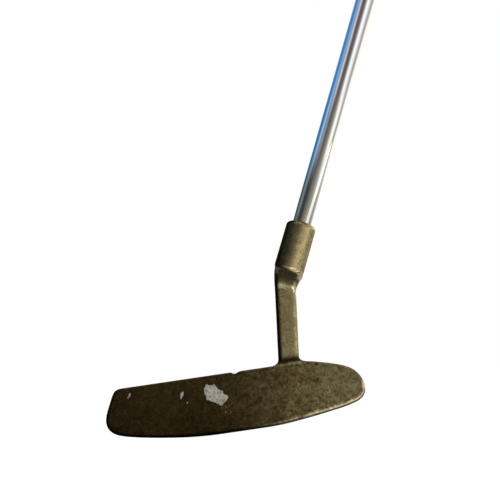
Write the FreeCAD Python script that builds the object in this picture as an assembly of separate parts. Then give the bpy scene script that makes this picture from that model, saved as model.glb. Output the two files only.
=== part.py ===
import FreeCAD, Part
import os
import math

V = FreeCAD.Vector

# Blade putter, right-handed, with a cranked plumber's neck.
# Frame: +X towards the heel, -X towards the toe, the face looks along -Y, +Z up.
# The origin is on the ground under the middle of the sole's flat, with the club at address.
# All lengths are in millimetres, all angles in degrees.

# ---- club ----
LIE = 65.4                 # between the shaft's axis and the ground
CLUB_LENGTH = 889.0        # 35 in, along the shaft's axis from the ground to the butt end
# ---- blade ----
HEAD_LENGTH = 120.4
BLADE_HEIGHT = 26.8
LOFT = 3.5
FACE_Y = -11.0             # leading edge of the face at ground level
HEAD_DEPTH = 25.5          # leading edge to the back of the flange
BACK_CORNER_R = 13.0       # heel and toe corners of the flange, seen from above
TOPLINE_THICK = 6.2
EDGE_R = 1.1               # softened edge all round the face
FLANGE_Z = 5.3             # flange's top at the foot of the cavity
CAVITY_W = 42.0
LEDGE_Z = 10.6             # lower step of the heel and toe weights
LEDGE_W = 70.0
WEIGHT_Z = 17.0            # top of the weights at the blade
WEIGHT_Z_BACK = 14.2       # top of the weights at the back
# ---- sight marks ----
SIGHT_X = 1.95
NOTCH_W = 3.5
NOTCH_D = 0.85
SIGHT_LINE_W = 1.3
SIGHT_LINE_D = 0.5
# ---- neck ----
OFFSET = 4.7               # shaft's axis ahead of the leading edge
POST_FRONT = 14.4          # setback of the post's front from the hosel's front
POST_DEPTH = 10.0
HOSEL_R = 7.15
HOSEL_T0 = 74.9            # hosel's lower and upper ends, along the axis from the ground
HOSEL_T1 = 99.5
BORE_R = 4.63
BORE_DEPTH = 20.6
KNUCKLE_T1 = 88.0          # where the knuckle's back runs into the hosel
# ---- shaft ----
TIP_R = 4.51               # 0.355 in
BUTT_R = 7.365             # 0.580 in
INSERT = 20.0
TAPER_T = 226.0            # end of the smooth tapered tip section
TAPER_R = 5.36
STEPS = 11
STEP_PITCH = 33.5
WALL_TIP = 0.85
WALL_BUTT = 0.45
# ---- grip ----
GRIP_LENGTH = 267.0        # 10.5 in
CAP_T = 4.6
VENT_R = 2.0
TAPE_T = 0.18
GAP = 0.01

PHI = math.radians(90.0 - LIE)
S = V(math.sin(PHI), 0, math.cos(PHI))          # up the shaft
U = V(math.cos(PHI), 0, -math.sin(PHI))         # across the shaft, towards the heel
AX_Y = FACE_Y - OFFSET
GX = 1.78                                       # where the axis meets the ground
G = V(GX, AX_Y, 0)
TAN_LOFT = math.tan(math.radians(LOFT))


def on_axis(t, u=0.0, v=0.0):
    """Point at t along the shaft's axis, u across it and v behind it."""
    return G + S * t + U * u + V(0, v, 0)


def face_y(z):
    return FACE_Y + z * TAN_LOFT


def prism(points, direction):
    pts = list(points) + [points[0]]
    return Part.Face(Part.makePolygon(pts)).extrude(direction)


def rounded_rect(c, ex, ey, x0, x1, y0, y1, r):
    """Wire of four lines and four arcs in the plane through c spanned by ex and ey."""
    def p(a, b):
        return c + ex * a + ey * b
    k = r * (1 - math.sqrt(0.5))
    e = []
    e.append(Part.LineSegment(p(x0 + r, y0), p(x1 - r, y0)).toShape())
    e.append(Part.Arc(p(x1 - r, y0), p(x1 - k, y0 + k), p(x1, y0 + r)).toShape())
    e.append(Part.LineSegment(p(x1, y0 + r), p(x1, y1 - r)).toShape())
    e.append(Part.Arc(p(x1, y1 - r), p(x1 - k, y1 - k), p(x1 - r, y1)).toShape())
    e.append(Part.LineSegment(p(x1 - r, y1), p(x0 + r, y1)).toShape())
    e.append(Part.Arc(p(x0 + r, y1), p(x0 + k, y1 - k), p(x0, y1 - r)).toShape())
    e.append(Part.LineSegment(p(x0, y1 - r), p(x0, y0 + r)).toShape())
    e.append(Part.Arc(p(x0, y0 + r), p(x0 + k, y0 + k), p(x0 + r, y0)).toShape())
    return Part.Wire(e)


def clean(shape):
    s = shape.removeSplitter()
    if len(s.Solids) != 1 or not s.isValid():
        s = shape
    return s


def fillet(shape, edges, r, label):
    """Fillets the edges together, or one by one where the set as a whole can't be done."""
    if not edges:
        print("no edges for", label)
        return shape
    try:
        s = shape.makeFillet(r, edges)
        if s.isValid() and len(s.Solids) == 1 and s.Volume > 0:
            print("fillet", label, len(edges), "ok")
            return s
    except Exception as why:
        print("fillet", label, "as a set:", why)
    return shape


# ======================= blade outline, seen from the front =======================
TOP = BLADE_HEIGHT
heel_pts = [(33.0, TOP), (37.2, 26.58), (41.3, 25.68), (45.3, 24.68), (49.45, 23.46), (53.45, 21.92), (57.2, 19.25),
            (59.3, 16.0), (60.2, 12.4), (60.0, 9.6), (58.5, 7.3), (55.4, 5.55), (50.25, 4.18), (45.75, 3.38),
            (41.5, 2.74), (37.2, 2.1), (33.0, 1.56), (28.8, 1.06), (24.6, 0.62), (20.4, 0.27), (16.3, 0.07), (12.5, 0.0)]
toe_pts = [(-9.0, 0.0), (-12.8, 0.08), (-16.7, 0.25), (-20.8, 0.5), (-24.8, 0.84), (-28.9, 1.28), (-33.0, 1.78),
           (-37.1, 2.34), (-41.1, 2.95), (-45.2, 3.62), (-49.3, 4.4), (-53.35, 5.4), (-57.25, 7.15), (-59.5, 9.6),
           (-60.2, 12.3), (-59.93, 15.13), (-59.27, 17.2), (-58.55, 19.1), (-57.8, 20.9), (-57.05, 22.7), (-56.2, 24.52),
           (-54.95, 26.06), (-52.6, 26.76), (-51.0, TOP)]


def spline_xz(pts, t0, t1, y):
    c = Part.BSplineCurve()
    c.interpolate(Points=[V(x, y, z) for x, z in pts], InitialTangent=t0, FinalTangent=t1)
    return [a.toShape() for a in c.toBiArcs(0.04)]


def outline(y):
    heel = spline_xz(heel_pts, V(1, 0, 0), V(-1, 0, 0), y)
    toe = spline_xz(toe_pts, V(-1, 0, 0), V(1, 0, 0), y)
    top = Part.LineSegment(V(-51.0, y, TOP), V(33.0, y, TOP)).toShape()
    sole = Part.LineSegment(V(12.5, y, 0), V(-9.0, y, 0)).toShape()
    return Part.Wire([top] + heel + [sole] + toe)


blank = Part.Face(outline(FACE_Y - 1.0)).extrude(V(0, HEAD_DEPTH + 4.0, 0))

# lofted face: everything ahead of it goes
front = prism([V(-80, FACE_Y - 20, -5), V(-80, face_y(-5), -5), V(-80, face_y(40), 40), V(-80, FACE_Y - 20, 40)],
              V(160, 0, 0))
blank = blank.cut(front)

# plan view: the back corners are rounded away
back = FACE_Y + HEAD_DEPTH
cr = BACK_CORNER_R
k = cr * (1 - math.sqrt(0.5))
xt, xh = -(HEAD_LENGTH / 2 + 0.8), HEAD_LENGTH / 2 + 0.8
yf = FACE_Y - 8
plan = Part.Wire([
    Part.LineSegment(V(xt, yf, -5), V(xh, yf, -5)).toShape(),
    Part.LineSegment(V(xh, yf, -5), V(xh, back - cr, -5)).toShape(),
    Part.Arc(V(xh, back - cr, -5), V(xh - k, back - k, -5), V(xh - cr, back, -5)).toShape(),
    Part.LineSegment(V(xh - cr, back, -5), V(xt + cr, back, -5)).toShape(),
    Part.Arc(V(xt + cr, back, -5), V(xt + k, back - k, -5), V(xt, back - cr, -5)).toShape(),
    Part.LineSegment(V(xt, back - cr, -5), V(xt, yf, -5)).toShape(),
])
head = blank.common(Part.Face(plan).extrude(V(0, 0, 50)))


def edges_where(shape, test, n=7):
    """Edges whose every sampled point passes the test."""
    return [e for e in shape.Edges if not e.Degenerated and all(test(p) for p in e.discretize(n))]


def on_plan(p):
    if p.y < back - cr - 0.01:
        return False
    if abs(p.y - back) < 0.02:
        return True
    return any(abs(math.hypot(p.x - cx, p.y - (back - cr)) - cr) < 0.02 for cx in (xt + cr, xh - cr))


# the blade itself, its edges softened in front and behind
top_back = face_y(TOP) + TOPLINE_THICK
behind = prism([V(-80, top_back, 45), V(-80, top_back - 1.0, -5), V(-80, 80, -5), V(-80, 80, 45)], V(160, 0, 0))
slab = blank.cut(behind)
slab = fillet(slab, edges_where(slab, lambda p: abs(p.y - face_y(p.z)) < 0.02), EDGE_R, "face edge")
slab = fillet(slab, edges_where(slab, lambda p: abs(p.y - (top_back - (45 - p.z) / 50.0)) < 0.02), 1.2, "top line back")

# the body behind it: sole, flange and weights, which slope to the back
rear = head.cut(prism([V(-80, yf - 5, -5), V(-80, top_back - 4.0, -5), V(-80, top_back - 4.0, 45), V(-80, yf - 5, 45)], V(160, 0, 0)))
rim = [e for e in edges_where(rear, on_plan) if e.BoundBox.ZLength < 14 or e.BoundBox.XLength > 3]
rear = fillet(rear, rim, 2.4, "back rim")
wz = lambda y: WEIGHT_Z - (WEIGHT_Z - WEIGHT_Z_BACK) * (y - top_back) / (back - top_back)
rear = rear.cut(prism([V(-80, -20, wz(-20)), V(-80, 40, wz(40)), V(-80, 40, 60), V(-80, -20, 60)], V(160, 0, 0)))
loop = [e for e in edges_where(rear, lambda p: abs(p.z - wz(p.y)) < 0.02) if e.CenterOfMass.y > top_back - 3.9]
for r in (1.2, 0.8, 0.5):
    r2 = fillet(rear, loop, r, "weights' rim %g" % r)
    if r2 is not rear:
        rear = r2
        break

# the cavity, and the ledge on each side of it
cav_y = top_back - 1.0
cx0, cx1 = SIGHT_X - CAVITY_W / 2, SIGHT_X + CAVITY_W / 2
lx0, lx1 = SIGHT_X - LEDGE_W / 2, SIGHT_X + LEDGE_W / 2
cavity = prism([V(cx0, 0, 0), V(cx1, 0, 0), V(cx1 + 3.5, 0, 40), V(cx0 - 3.5, 0, 40)], V(0, 60, 0))
tilt = FreeCAD.Placement(V(0, cav_y, FLANGE_Z), FreeCAD.Rotation(V(1, 0, 0), -2.5))
cavity.Placement = tilt
ledge = prism([V(lx0, 0, 0), V(lx1, 0, 0), V(lx1 + 3.0, 0, 40), V(lx0 - 3.0, 0, 40)], V(0, 60, 0))
ledge.Placement = FreeCAD.Placement(V(0, cav_y, LEDGE_Z), FreeCAD.Rotation(V(1, 0, 0), -3.0))
rear = rear.cut(ledge).cut(cavity)
inner = [e for e in edges_where(rear, lambda p: abs(p.z - wz(p.y)) < 0.02 and lx0 - 4 < p.x < lx1 + 4) if e.BoundBox.YLength > 5]
rear = fillet(rear, inner, 0.8, "weights' inner edges")
rear = fillet(rear, [e for e in edges_where(rear, lambda p: abs(p.z - (LEDGE_Z - (p.y - cav_y) * math.tan(math.radians(3.0)))) < 0.03)
                     if e.Length > 1.5], 0.8, "ledges")
rear = fillet(rear, [e for e in edges_where(rear, lambda p: abs(p.z - (FLANGE_Z - (p.y - cav_y) * math.tan(math.radians(2.5)))) < 0.03)
                     if e.Length > 1.5], 0.8, "flange")
print("rear body", rear.isValid(), len(rear.Solids), "blade", slab.isValid(), len(slab.Solids))
head = clean(slab.fuse(rear))
print("blade body", head.isValid(), len(head.Solids), round(head.Volume / 1000, 2), "cm3")

# ======================= neck =======================
# post: a slightly tapered bar that leans towards the heel
X, Y = V(1, 0, 0), V(0, 1, 0)
POST_Y0 = AX_Y - HOSEL_R + POST_FRONT
POST_Y1 = POST_Y0 + POST_DEPTH


def post_x(z):
    return 22.96 + (z - 32.83) * 0.1043, 32.65 + (z - 31.42) * 0.1162


def bar_section(left, right, y0, y1, r):
    """Rounded rectangle from left to right (x, z), and from y0 to y1."""
    a, b = V(left[0], 0, left[1]), V(right[0], 0, right[1])
    ex = (b - a).normalize()
    return rounded_rect(a, ex, Y, 0, (b - a).Length, y0, y1, r)


def flat_section(z, g=0.0, gf=0.0, gb=0.0, r=1.8):
    a, b = post_x(z)
    return bar_section((a - g, z), (b + g * 1.3, z), POST_Y0 - gf, POST_Y1 + gb, r)


sections = [flat_section(9.0), flat_section(25.0), flat_section(40.0), flat_section(51.0), flat_section(54.0)]
# crank: the post turns towards the shaft's axis and widens into the hosel's underside
turn = [((25.48, 57.0), (35.56, 56.8), 0.0), ((25.77, 59.8), (35.72, 58.7), 0.0), ((26.04, 62.7), (35.98, 60.6), 0.25),
        ((26.30, 65.6), (36.62, 62.4), 1.1), ((26.55, 68.2), (37.50, 63.9), 2.6), ((26.80, 70.4), (38.50, 65.15), 4.9),
        ((27.16, 72.0), (39.25, 66.1), 7.4)]
for left, right, gf in turn:
    sections.append(bar_section(left, right, POST_Y0 - gf, POST_Y1, 1.8 + gf * 0.12))
post = Part.makeLoft(sections, True, False)

# root: a hollow flare on to the top line, flush with it in front and behind
RR = 2.9
flare_wires = []
for a in (0, 18, 36, 54, 72, 90):
    g = RR * (1 - math.cos(math.radians(a)))
    flare_wires.append(flat_section(TOP + RR - RR * math.sin(math.radians(a)) - 0.2, g, g * 0.5, 0.0, 1.8 + g * 0.4))
flare_wires.append(flat_section(TOP - 2.0, RR, RR * 0.5, 0.0, 1.8 + RR * 0.4))
flare = Part.makeLoft(flare_wires, True, False)
flare = flare.common(Part.makeBox(60, TOPLINE_THICK - EDGE_R * 0.6 - 1.25, 40, V(0, face_y(TOP) + EDGE_R * 0.6, 10)))

# knuckle: the hosel's lower end drawn back over the post
yb = POST_Y1 - AX_Y
KL, KR, KC = -7.05, 7.05, 2.4


def tear(t):
    p = lambda u, v: on_axis(t, u, v)
    h = HOSEL_R - 0.01
    q = KC * (1 - math.sqrt(0.5))
    return Part.Wire([
        Part.Arc(p(-h, 0), p(0, -h), p(h, 0)).toShape(),
        Part.LineSegment(p(h, 0), p(KR, yb - KC)).toShape(),
        Part.Arc(p(KR, yb - KC), p(KR - q, yb - q), p(KR - KC, yb)).toShape(),
        Part.LineSegment(p(KR - KC, yb), p(KL + KC, yb)).toShape(),
        Part.Arc(p(KL + KC, yb), p(KL + q, yb - q), p(KL, yb - KC)).toShape(),
        Part.LineSegment(p(KL, yb - KC), p(-h, 0)).toShape(),
    ])


knuckle = Part.Face(tear(HOSEL_T0)).extrude(S * 30)
shoulder = prism([on_axis(KNUCKLE_T1 + 1.6, -20, 2.0), on_axis(KNUCKLE_T1 - 7.0, -20, yb + 0.4), on_axis(KNUCKLE_T1 - 14, -20, yb + 12),
                  on_axis(KNUCKLE_T1 + 40, -20, yb + 12), on_axis(KNUCKLE_T1 + 40, -20, -20), on_axis(KNUCKLE_T1 + 1.6, -20, -20)], U * 40)
knuckle = knuckle.cut(shoulder)

hosel = Part.makeCylinder(HOSEL_R, HOSEL_T1 - HOSEL_T0, on_axis(HOSEL_T0), S)
top_e = [e for e in hosel.Edges if isinstance(e.Curve, Part.Circle) and abs((e.CenterOfMass - on_axis(HOSEL_T1)).Length) < 0.1]
hosel = hosel.makeFillet(1.9, top_e)

# the post's top stops at the hosel's underside
post = post.cut(prism([on_axis(HOSEL_T0 + 0.4, -20, -30), on_axis(HOSEL_T0 + 0.4, -20, 40), on_axis(HOSEL_T0 + 40, -20, 40), on_axis(HOSEL_T0 + 40, -20, -30)], U * 50))
neck = hosel.fuse(knuckle)
print("hosel and knuckle", neck.isValid(), len(neck.Solids))
ke = [e for e in neck.Edges if not e.Degenerated and all((p - G).dot(S) > HOSEL_T0 + 2 and p.y > AX_Y + 5.0 for p in e.discretize(7)) and e.Length > 3
      and (e.CenterOfMass - G).dot(S) < HOSEL_T1 - 4]
for r in (1.2, 0.8, 0.5):
    n2 = fillet(neck, ke, r, "knuckle %g" % r)
    if n2 is not neck:
        neck = n2
        break
neck = post.fuse([flare, neck])
head = clean(head.fuse(neck))
print("with neck", head.isValid(), len(head.Solids), round(head.Volume / 1000, 2), "cm3")
rim = [e for e in edges_where(head, lambda p: abs((p - G).dot(S) - HOSEL_T0) < 0.02) if e.Length > 1]
for r in (0.7, 0.4, 0.25):
    h2 = fillet(head, rim, r, "hosel underside %g" % r)
    if h2 is not head:
        head = h2
        break

# bore for the shaft, from the hosel's top
bore = Part.makeCylinder(BORE_R, BORE_DEPTH + 5, on_axis(HOSEL_T1 - BORE_DEPTH), S)
tip_cone = Part.makeCone(0.2, BORE_R, 2.4, on_axis(HOSEL_T1 - BORE_DEPTH - 2.4), S)
mouth = Part.makeCone(BORE_R, BORE_R + 0.5, 0.5, on_axis(HOSEL_T1 - 0.5 + 0.001), S)
head = head.cut(bore).cut(tip_cone).cut(mouth)

# sight notch across the top line and sight line along the flange
nw, nd = NOTCH_W / 2, NOTCH_D
notch = prism([V(SIGHT_X - nw, -40, TOP + 1.0), V(SIGHT_X - nw, -40, TOP), V(SIGHT_X - nw + 0.55, -40, TOP - nd),
               V(SIGHT_X - nw + 1.35, -40, TOP - nd), V(SIGHT_X + nw, -40, TOP), V(SIGHT_X + nw, -40, TOP + 1.0)],
              V(0, 60, 0))
head = head.cut(notch)
sl0 = top_back + 3.0
line_len = 60.0
line_tilt = FreeCAD.Placement(V(0, cav_y, FLANGE_Z), FreeCAD.Rotation(V(1, 0, 0), -2.5), V(0, 0, 0)).multiply(FreeCAD.Placement(V(0, -cav_y, -FLANGE_Z), FreeCAD.Rotation()))
line = Part.makeBox(SIGHT_LINE_W, line_len, 20, V(SIGHT_X - SIGHT_LINE_W / 2, sl0, FLANGE_Z - SIGHT_LINE_D))
line.Placement = line_tilt.multiply(line.Placement)
head = head.cut(line)
head = clean(head)
print("head", head.isValid(), len(head.Solids), round(head.Volume / 1000, 2), "cm3", round(head.Volume / 1000 * 8.2, 0), "g")

# paint left in the two sight marks
paint_notch = prism([V(SIGHT_X - nw + 0.55 * 0.26 / nd + 0.012, -40, TOP - 0.26), V(SIGHT_X - nw + 0.55 + 0.006, -40, TOP - nd + 0.01),
                     V(SIGHT_X - nw + 1.00, -40, TOP - nd + 0.01), V(SIGHT_X - nw + 1.10, -40, TOP - 0.62),
                     V(SIGHT_X - nw + 0.95, -40, TOP - 0.34), V(SIGHT_X - nw + 0.55, -40, TOP - 0.20)],
                    V(0, 60, 0))
# its front end slants back towards the heel, where the rest of the paint has flaked off
py0 = face_y(TOP) + 0.65
keep_y = prism([V(0, py0 - 0.35, 0), V(3.2, py0 + 2.85, 0), V(3.2, py0 + TOPLINE_THICK - 2.4, 0), V(0, py0 + TOPLINE_THICK - 2.4, 0)], V(0, 0, 60))
paint_notch = paint_notch.common(keep_y)
paint_line = Part.makeBox(SIGHT_LINE_W - 2 * GAP, line_len, SIGHT_LINE_D - 0.14, V(SIGHT_X - SIGHT_LINE_W / 2 + GAP, sl0 + GAP, FLANGE_Z - SIGHT_LINE_D + GAP))
paint_line.Placement = line_tilt.multiply(paint_line.Placement)
paint_line = paint_line.common(Part.makeBox(200, (back - 3.2) - (top_back - 10), 60, V(-100, top_back - 10, 0)))
paint = Part.makeCompound([paint_notch, paint_line])

# ======================= shaft =======================
T_TIP = HOSEL_T1 - INSERT
T_BUTT = CLUB_LENGTH - CAP_T + 1.2
prof = [(T_TIP, TIP_R), (HOSEL_T1 + 1.0, TIP_R + 0.01), (TAPER_T, TAPER_R)]
r, t = TAPER_R, TAPER_T
dr = (BUTT_R - TAPER_R) / STEPS
for i in range(STEPS):
    prof.append((t + 1.6, r + dr))
    t += STEP_PITCH
    r += dr
    if i < STEPS - 1:
        prof.append((t, r))
prof.append((T_BUTT, BUTT_R))
outer = [on_axis(t, r) for t, r in prof]
inner = [on_axis(t, r - WALL_TIP + (WALL_TIP - WALL_BUTT) * (t - T_TIP) / (T_BUTT - T_TIP)) for t, r in reversed(prof)]
section = Part.Face(Part.makePolygon(outer + inner + [outer[0]]))
SEAMS = 24                 # the tube is drawn with lengthwise seams, so that its long cones stay round in a mesh
sectors = []
for i in range(SEAMS):
    sec = section.copy()
    sec.rotate(G, S, 360.0 / SEAMS * i)
    sectors.append(sec.revolve(G, S, 360.0 / SEAMS))
skin = []
for sec in sectors:
    for f in sec.Faces:
        c = f.CenterOfMass - G
        radial = c - S * c.dot(S)
        planar_cut = isinstance(f.Surface, Part.Plane) and abs(f.Surface.Axis.dot(S)) < 0.5
        if not planar_cut:
            skin.append(f)
shell = Part.Shell(skin)
shaft = Part.Solid(shell) if shell.isClosed() else None
if shaft is None:
    sewn = Part.Compound(skin)
    sewn.sewShape()
    shaft = Part.Solid(sewn.Shells[0])
if shaft.Volume < 0:
    shaft.reverse()
print("shaft", shaft.isValid(), round(shaft.Volume / 1000, 3), "of", round(section.revolve(G, S, 360).Volume / 1000, 3))

epoxy = Part.makeCylinder(BORE_R - GAP, INSERT - 0.4, on_axis(HOSEL_T1 - INSERT + 0.05), S).cut(
    Part.makeCylinder(TIP_R + 0.01 + GAP, INSERT + 5, on_axis(HOSEL_T1 - INSERT - 1), S))
plug = Part.makeCylinder(TIP_R - WALL_TIP - GAP, 12.0, on_axis(T_TIP + 1.5), S)
plug = plug.makeChamfer(0.6, [e for e in plug.Edges if isinstance(e.Curve, Part.Circle)])

# ======================= grip =======================
T_G1 = CLUB_LENGTH
T_G0 = CLUB_LENGTH - GRIP_LENGTH
F = U * -1            # the flat front looks up and away from the player
# t from the mouth, half width, axis to flat, axis to back, corner radius
GRIP = [
    (0.0, 9.1, 8.75, 9.2, 4.4),
    (18.0, 9.7, 8.95, 9.8, 4.4),
    (70.0, 10.7, 9.3, 10.9, 4.6),
    (130.0, 11.5, 9.6, 12.0, 4.9),
    (185.0, 12.2, 9.8, 13.6, 5.1),
    (225.0, 12.9, 10.0, 16.2, 5.4),
    (248.0, 13.2, 10.1, 17.0, 5.6),
    (GRIP_LENGTH - CAP_T, 13.2, 10.1, 16.6, 5.6),
]


def grip_section(t, hw, f, b, rc):
    """Flat front with rounded corners, and a deep rounded back."""
    p = lambda a, w: on_axis(t, -a, w)         # a towards the flat, w across
    k = rc * (1 - math.sqrt(0.5))
    m = 0.0
    bz = b * 0.72
    e = [
        Part.LineSegment(p(f, -(hw - rc)), p(f, hw - rc)).toShape(),
        Part.Arc(p(f, hw - rc), p(f - k, hw - k), p(f - rc, hw)).toShape(),
        Part.BezierCurve(), Part.BezierCurve(),
        Part.Arc(p(f - rc, -hw), p(f - k, -(hw - k)), p(f, -(hw - rc))).toShape(),
    ]
    a0 = f - rc
    e[2].setPoles([p(a0, hw), p(a0 - (a0 + b) * 0.60, hw), p(-b, hw * 0.56), p(-b, 0)])
    e[3].setPoles([p(-b, 0), p(-b, -hw * 0.56), p(a0 - (a0 + b) * 0.60, -hw), p(a0, -hw)])
    e[2] = e[2].toShape()
    e[3] = e[3].toShape()
    return Part.Wire(e)


grip_bore_r = BUTT_R + TAPE_T + 3 * GAP
grip_wires = [grip_section(T_G0 + t, hw, f, b, rc) for t, hw, f, b, rc in GRIP]
grip_body = Part.makeLoft(grip_wires, True, False)
grip = grip_body.cut(Part.makeCylinder(grip_bore_r, GRIP_LENGTH + 20, on_axis(T_G0 - 10), S))
mouth_e = [e for e in grip.Edges if abs((e.CenterOfMass - on_axis(T_G0)).dot(S)) < 0.05 and e.Length > 5
           and not isinstance(e.Curve, Part.Circle)]
ge = [e for e in grip.Edges if all(abs((q - on_axis(T_G0)).dot(S)) < 0.05 for q in e.discretize(4))
      and min((q - on_axis(T_G0)).Length for q in e.discretize(4)) > grip_bore_r + 0.5]
grip = fillet(grip, ge, 0.9, "grip mouth")

# end cap: domed disc over the butt, with a spigot inside the grip and a vent
cap_sec = GRIP[-1]
cap0 = Part.Face(grip_section(T_G1 - CAP_T + GAP, *cap_sec[1:])).extrude(S * (CAP_T - GAP))
ce = [e for e in cap0.Edges if all(abs((q - on_axis(T_G1)).dot(S)) < 0.05 for q in e.discretize(4))]
cap0 = fillet(cap0, ce, 2.2, "cap rim")
socket = Part.makeCylinder(BUTT_R + TAPE_T + GAP * 2, 1.2 + 0.3, on_axis(T_G1 - CAP_T - 0.2), S)
cap = cap0.cut(socket)
cap = cap.cut(Part.makeCylinder(VENT_R, 20, on_axis(T_G1 - 12), S))

tape = Part.makeCylinder(BUTT_R + GAP + TAPE_T, GRIP_LENGTH - CAP_T - 3.0, on_axis(T_G0 + 3.0), S).cut(
    Part.makeCylinder(BUTT_R + GAP, GRIP_LENGTH + 20, on_axis(T_G0 - 5), S))

os.makedirs("parts", exist_ok=True)
nodes = {
    "head": head,
    "shaft": shaft,
    "hosel_epoxy": epoxy,
    "shaft_tip_plug": plug,
    "sight_paint": paint,
    "grip": grip,
    "grip_cap": cap,
    "grip_tape": tape,
}
for name, shape in nodes.items():
    ok = all(s.isValid() for s in shape.Solids)
    print(name, "solids", len(shape.Solids), "valid", ok, "volume cm3", round(sum(s.Volume for s in shape.Solids) / 1000, 3))
    shape.exportStep("parts/%s.step" % name)
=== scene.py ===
import bpy
import math
import numpy as np
from mathutils import Vector, Matrix, noise


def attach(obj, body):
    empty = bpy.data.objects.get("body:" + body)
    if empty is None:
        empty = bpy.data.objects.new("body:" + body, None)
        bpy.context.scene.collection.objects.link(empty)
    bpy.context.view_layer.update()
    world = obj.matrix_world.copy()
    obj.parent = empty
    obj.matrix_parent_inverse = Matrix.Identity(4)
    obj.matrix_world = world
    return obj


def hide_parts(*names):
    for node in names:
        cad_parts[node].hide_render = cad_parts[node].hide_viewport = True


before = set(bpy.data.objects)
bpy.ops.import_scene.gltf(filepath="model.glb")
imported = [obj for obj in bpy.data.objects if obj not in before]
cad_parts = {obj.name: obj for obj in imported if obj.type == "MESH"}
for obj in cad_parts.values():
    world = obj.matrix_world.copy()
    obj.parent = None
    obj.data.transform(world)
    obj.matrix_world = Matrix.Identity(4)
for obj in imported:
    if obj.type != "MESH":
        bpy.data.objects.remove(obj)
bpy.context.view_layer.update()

MM = 0.001

# ------------------------------------------------------------------ dimensions, millimetres, as the CAD has them
LIE = 65.4
FACE_Y = -11.0
TANL = math.tan(math.radians(3.5))
COSL, SINL = math.cos(math.radians(3.5)), math.sin(math.radians(3.5))
TOP = 26.8
DEPTH = 25.5
BACK = FACE_Y + DEPTH
CR = 13.0
TLT = 6.2
TOPBACK = FACE_Y + TOP * TANL + TLT
SIGHT_X = 1.95
HOSEL_R = 7.15
T0, T1 = 74.9, 99.5
BORE_R, BORE_DEPTH = 4.63, 20.6
GX, AXY = 1.78, -15.7
PHI = math.radians(90 - LIE)
S = np.array([math.sin(PHI), 0, math.cos(PHI)])
U = np.array([math.cos(PHI), 0, -math.sin(PHI)])
G = np.array([GX, AXY, 0.0])


# ------------------------------------------------------------------ small helpers
def cubic(points, n, closed=False, end0=None, end1=None):
    """Dense points on a smooth cubic through the given ones, by chord length."""
    P = np.array(points, float)
    m = len(P)
    h = np.linalg.norm(np.diff(P, axis=0), axis=1)
    A = np.zeros((m, m))
    R = np.zeros((m, P.shape[1]))
    for i in range(1, m - 1):
        A[i, i - 1], A[i, i], A[i, i + 1] = h[i], 2 * (h[i - 1] + h[i]), h[i - 1]
        R[i] = 3 * ((P[i] - P[i - 1]) / h[i - 1] * h[i] + (P[i + 1] - P[i]) / h[i] * h[i - 1])
    A[0, 0] = A[-1, -1] = 1
    R[0] = end0 if end0 is not None else (P[1] - P[0]) / h[0]
    R[-1] = end1 if end1 is not None else (P[-1] - P[-2]) / h[-1]
    T = np.linalg.solve(A, R)
    out = []
    for i in range(m - 1):
        k = max(2, int(round(n * h[i] / h.sum())))
        t = np.linspace(0, 1, k, endpoint=False)[:, None]
        a = 2 * t**3 - 3 * t**2 + 1
        b = t**3 - 2 * t**2 + t
        c = -2 * t**3 + 3 * t**2
        d = t**3 - t**2
        out.append(a * P[i] + b * h[i] * T[i] + c * P[i + 1] + d * h[i] * T[i + 1])
    out.append(P[-1:])
    return np.vstack(out)


def rmax(a, b, r):
    """Both of two solids, the edge between them rounded to r."""
    u = np.maximum(a + r, 0)
    v = np.maximum(b + r, 0)
    return np.minimum(np.maximum(a, b), -r) + np.sqrt(u * u + v * v)


def rmin(a, b, r):
    """Either of two solids, with a fillet of r between them."""
    u = np.maximum(r - a, 0)
    v = np.maximum(r - b, 0)
    return np.maximum(np.minimum(a, b), r) - np.sqrt(u * u + v * v)


def blur(f, passes):
    for _ in range(passes):
        for ax in range(f.ndim):
            g = f.copy()
            sl = [slice(None)] * f.ndim
            lo, mid, hi = list(sl), list(sl), list(sl)
            lo[ax], mid[ax], hi[ax] = slice(0, -2), slice(1, -1), slice(2, None)
            g[tuple(mid)] = 0.25 * f[tuple(lo)] + 0.5 * f[tuple(mid)] + 0.25 * f[tuple(hi)]
            f = g
    return f


def sample(f, q):
    """Trilinear value of grid f at grid coordinates q."""
    i = np.clip(np.floor(q).astype(np.int64), 0, np.array(f.shape) - 2)
    t = (q - i).astype(np.float32)
    x, y, z = i.T
    a, b, c = t.T
    v = 0
    for dx in (0, 1):
        wx = a if dx else 1 - a
        for dy in (0, 1):
            wy = b if dy else 1 - b
            for dz in (0, 1):
                wz = c if dz else 1 - c
                v = v + wx * wy * wz * f[x + dx, y + dy, z + dz]
    return v


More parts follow.
